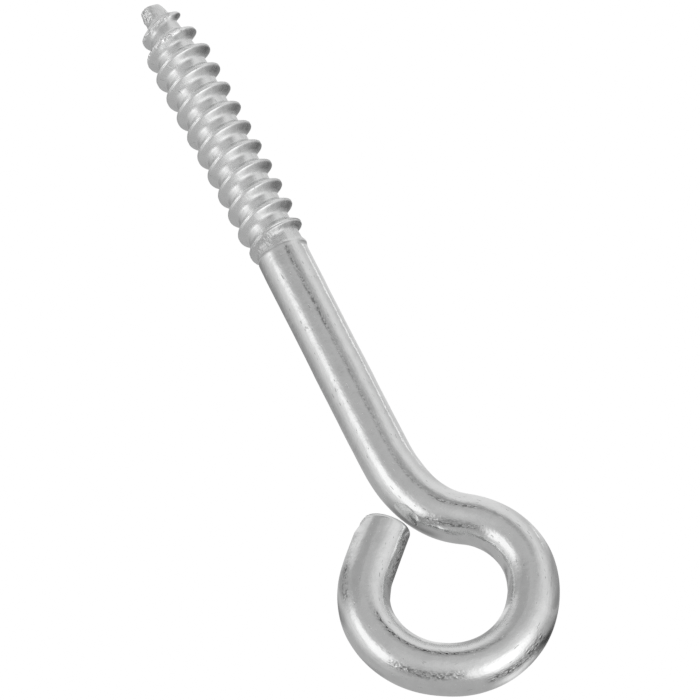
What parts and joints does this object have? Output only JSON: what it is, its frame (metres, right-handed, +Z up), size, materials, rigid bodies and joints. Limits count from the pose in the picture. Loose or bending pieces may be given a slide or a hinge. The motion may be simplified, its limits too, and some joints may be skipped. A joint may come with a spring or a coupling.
{
  "type": "lag-thread eye bolt",
  "caption": "Bent-wire eye bolt: an open round eye on a plain shank that ends in a coarse right-hand wood thread with a pinched tip, bright zinc plated.",
  "frame": {"origin": "centre of the eye", "axes": "+Z up from the thread's tip to the eye, along the shank, so the tip is at the bottom; +Y along the eye's axis; the neck enters the eye on the -X side"},
  "size_m": [0.0328, 0.0094, 0.1234],
  "materials": {
    "zinc_plated_steel": "bright zinc plate on cold-formed steel wire"
  },
  "bodies": {
    "root": {"eye_bolt": "zinc_plated_steel"}
  },
  "joints": []
}
